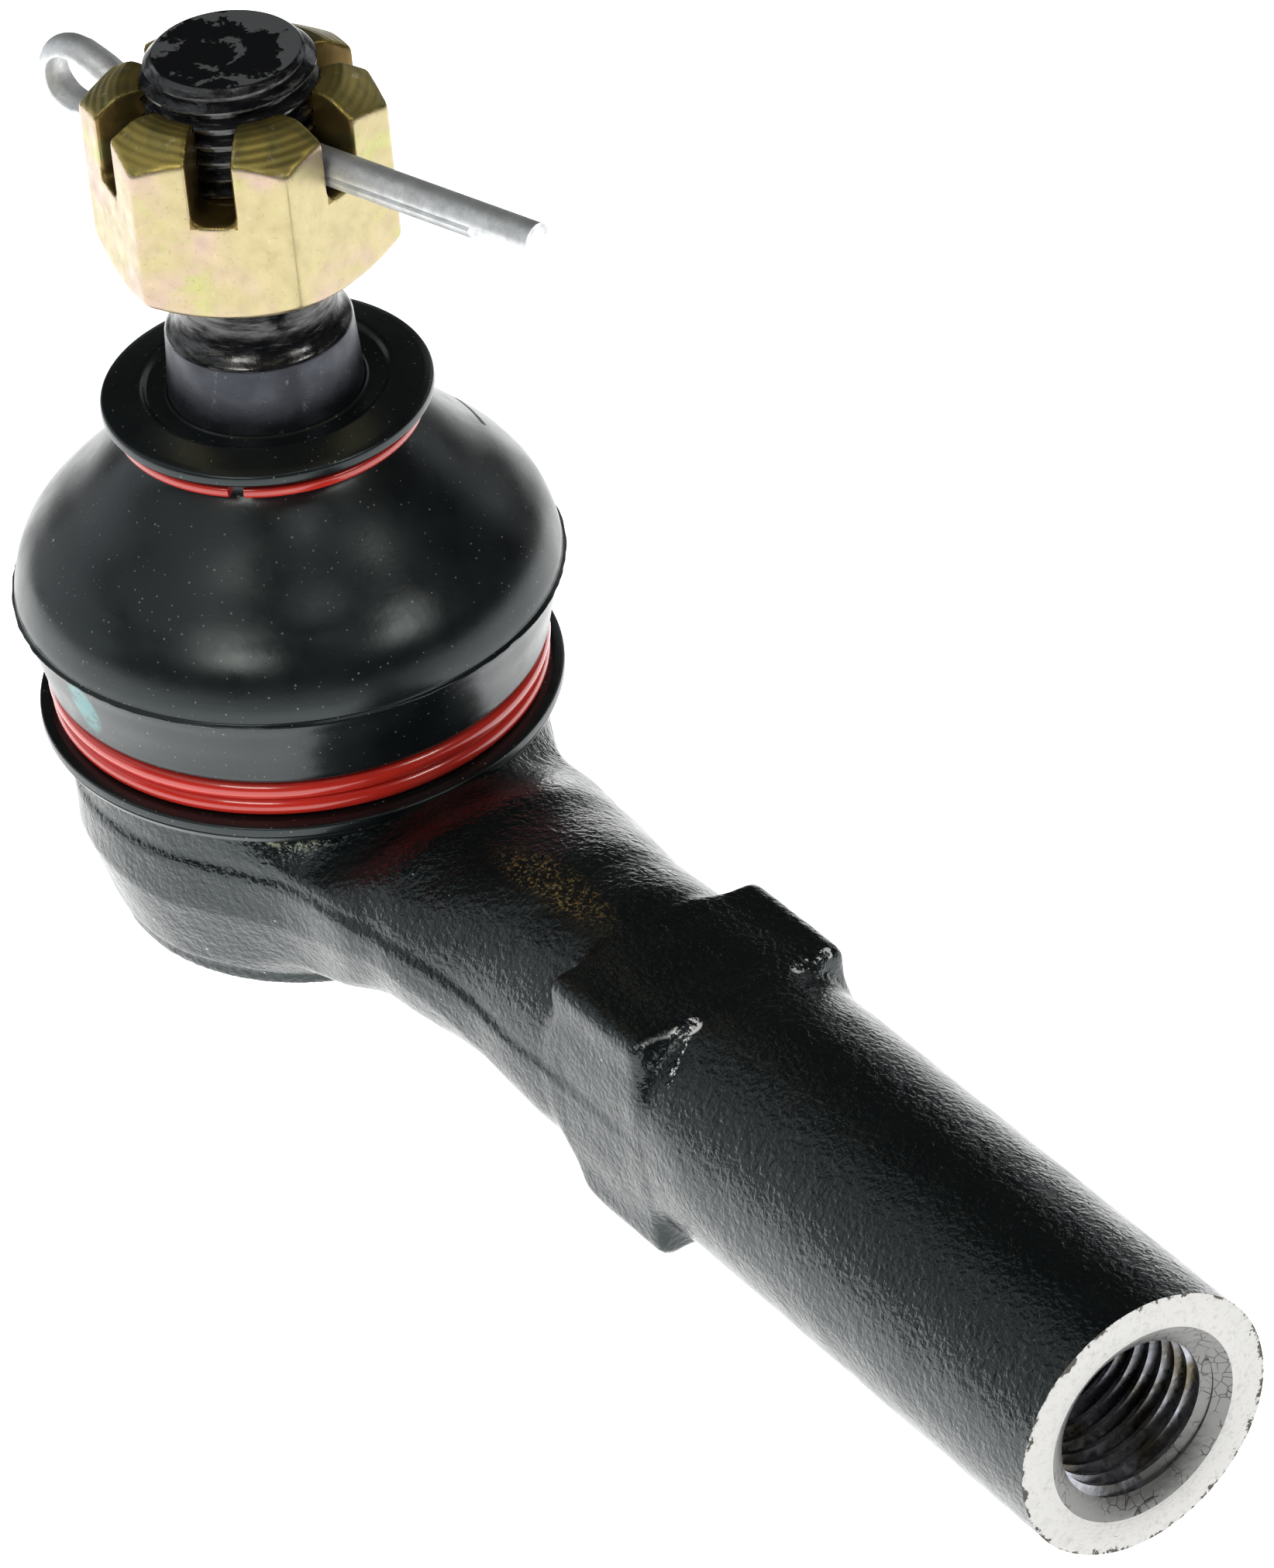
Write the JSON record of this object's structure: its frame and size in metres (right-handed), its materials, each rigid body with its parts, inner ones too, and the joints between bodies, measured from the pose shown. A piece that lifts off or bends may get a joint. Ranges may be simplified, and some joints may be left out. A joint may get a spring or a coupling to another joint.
{
  "type": "tie rod end",
  "caption": "Outer tie rod end: a forged housing with a tapped barrel and a ball stud with a dust boot, castle nut and cotter pin.",
  "frame": {"origin": "centre of the end cap's flat outer face, on the stud's axis", "axes": "+Z along the stud towards its nut, +X along the barrel towards its tapped mouth, so +Y completes a right-handed frame"},
  "size_m": [0.1339, 0.0442, 0.0784],
  "materials": {
    "black_paint": "gloss black paint over a rough forged skin, with a bright machined end face",
    "plated_cover": "pressed steel, satin",
    "spring_steel": "oiled spring steel",
    "bearing_plastic": "moulded acetal, greased",
    "red_coating": "glossy red coating on spring wire and on a split ring",
    "black_rubber": "smooth satin moulded rubber with a thin parting line",
    "stud_steel": "dark graphite steel with scuffed edges",
    "yellow_zinc": "yellow chromated zinc, slightly iridescent",
    "bright_zinc": "bright zinc plate"
  },
  "bodies": {
    "housing_body": {"housing": "black_paint", "end_cap": "plated_cover", "preload_spring": "spring_steel", "lower_bearing_seat": "bearing_plastic", "upper_bearing_shell": "bearing_plastic", "boot_lower_ring": "red_coating"},
    "boot_body": {"dust_boot": "black_rubber"},
    "boot_collar": {"boot_upper_ring": "red_coating"},
    "stud": {"ball_stud": "stud_steel", "castle_nut": "yellow_zinc"},
    "pin": {"cotter_pin": "bright_zinc"}
  },
  "joints": [
    {"name": "lean_direction", "type": "hinge", "parent": "housing_body", "child": "boot_body", "pos_m": [0, 0, 0.0143], "axis": [0, 0, 1], "continuous": true},
    {"name": "stud_tilt", "type": "hinge", "parent": "boot_body", "child": "boot_collar", "pos_m": [0, 0, 0.0143], "axis": [0, 1, 0], "range_deg": [-22, 22], "deforming": ["dust_boot"]},
    {"name": "stud_spin", "type": "hinge", "parent": "boot_collar", "child": "stud", "pos_m": [0, 0, 0.0143], "axis": [0, 0, 1], "continuous": true},
    {"name": "pin_pull", "type": "slide", "parent": "stud", "child": "pin", "axis": [-0.9548, -0.2974, 0], "range_m": [0, 0.042]}
  ]
}
